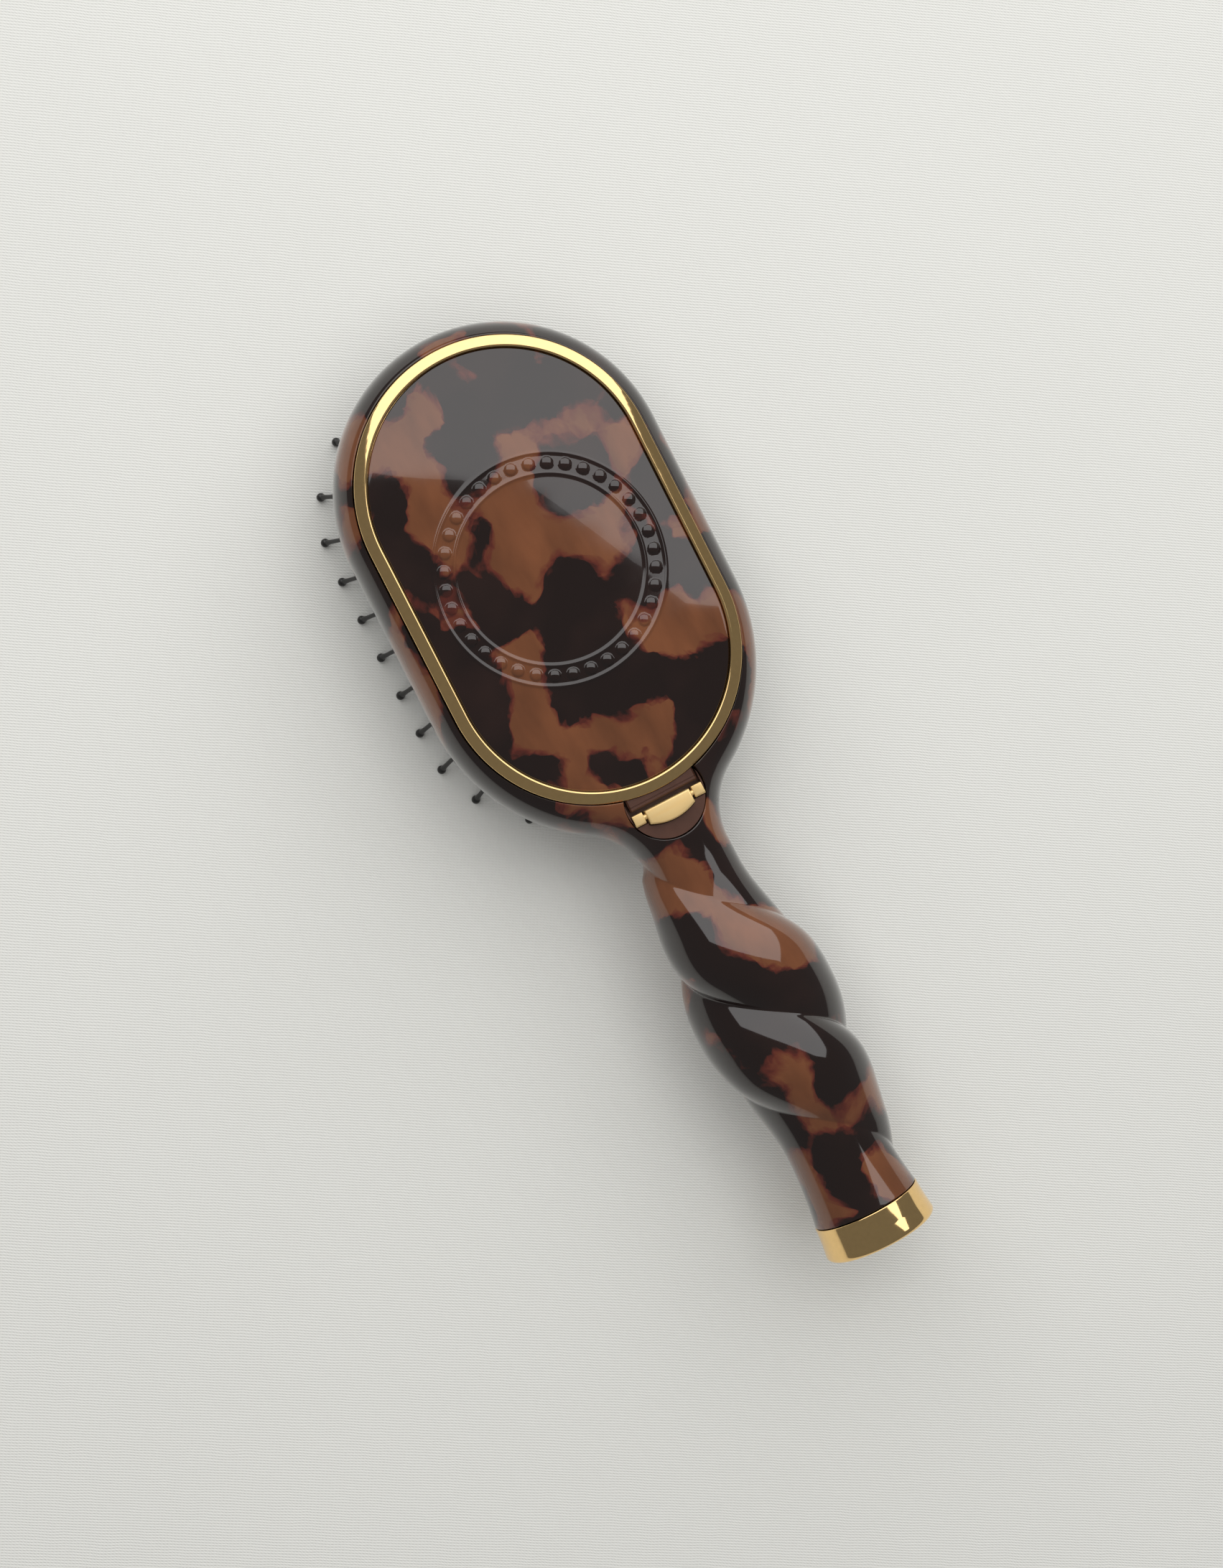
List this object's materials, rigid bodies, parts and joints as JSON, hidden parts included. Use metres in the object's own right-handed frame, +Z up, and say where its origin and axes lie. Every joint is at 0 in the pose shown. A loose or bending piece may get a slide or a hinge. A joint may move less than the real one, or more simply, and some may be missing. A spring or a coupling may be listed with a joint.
{
  "type": "hairbrush",
  "caption": "Paddle hairbrush with a twisted handle, a cushioned bed of ball-tipped pins, and a hinged mirror lid over a storage well.",
  "frame": {"origin": "centre of the bounding box, at the height of the bristle tips that the brush stands on", "axes": "+Y along the brush from handle to head, +X across the head, +Z up from the bristle tips to the lid"},
  "size_m": [0.0778, 0.2182, 0.0442],
  "materials": {
    "tortoise": "polished mottled tortoise pattern, brown patches on near-black",
    "brown_plastic": "satin",
    "black_plastic": "satin",
    "gold_plated_plastic": "polished gold plating over plastic",
    "gold_metal": "polished",
    "steel": "plain",
    "mirror": "silvered",
    "tape": "matte",
    "rubber": "matte",
    "bristle_nylon": "glossy black nylon"
  },
  "bodies": {
    "body": {"body_shell": "tortoise", "end_plug": "brown_plastic", "end_cap": "gold_plated_plastic", "compartment_tray": "brown_plastic", "tray_screws": "steel", "latch_magnet": "steel", "hinge_block": "gold_metal", "hinge_block_screws": "steel", "hinge_pin": "gold_metal", "cushion": "rubber", "cushion_frame": "black_plastic"},
    "lid": {"lid_rim": "gold_plated_plastic", "lid_panel": "tortoise", "mirror_frame": "brown_plastic", "mirror_glass": "mirror", "mirror_tape": "tape", "latch_plate": "steel", "hinge_leaf": "gold_metal", "hinge_leaf_screws": "steel"},
    "bristle_bed": {"bristle_row_01": "bristle_nylon", "bristle_row_02": "bristle_nylon", "bristle_row_03": "bristle_nylon", "bristle_row_04": "bristle_nylon", "bristle_row_05": "bristle_nylon", "bristle_row_06": "bristle_nylon", "bristle_row_07": "bristle_nylon", "bristle_row_08": "bristle_nylon", "bristle_row_09": "bristle_nylon", "bristle_row_10": "bristle_nylon", "bristle_row_11": "bristle_nylon"}
  },
  "joints": [
    {"name": "lid_hinge", "type": "hinge", "parent": "body", "child": "lid", "pos_m": [0, -0.0031, 0.0362], "axis": [1, 0, 0], "range_deg": [0, 115]},
    {"name": "bristle_slide", "type": "slide", "parent": "body", "child": "bristle_bed", "axis": [0, 0, 1], "range_m": [0, 0.002], "stiffness_N_per_m": 3000, "deforming": ["cushion"]}
  ]
}
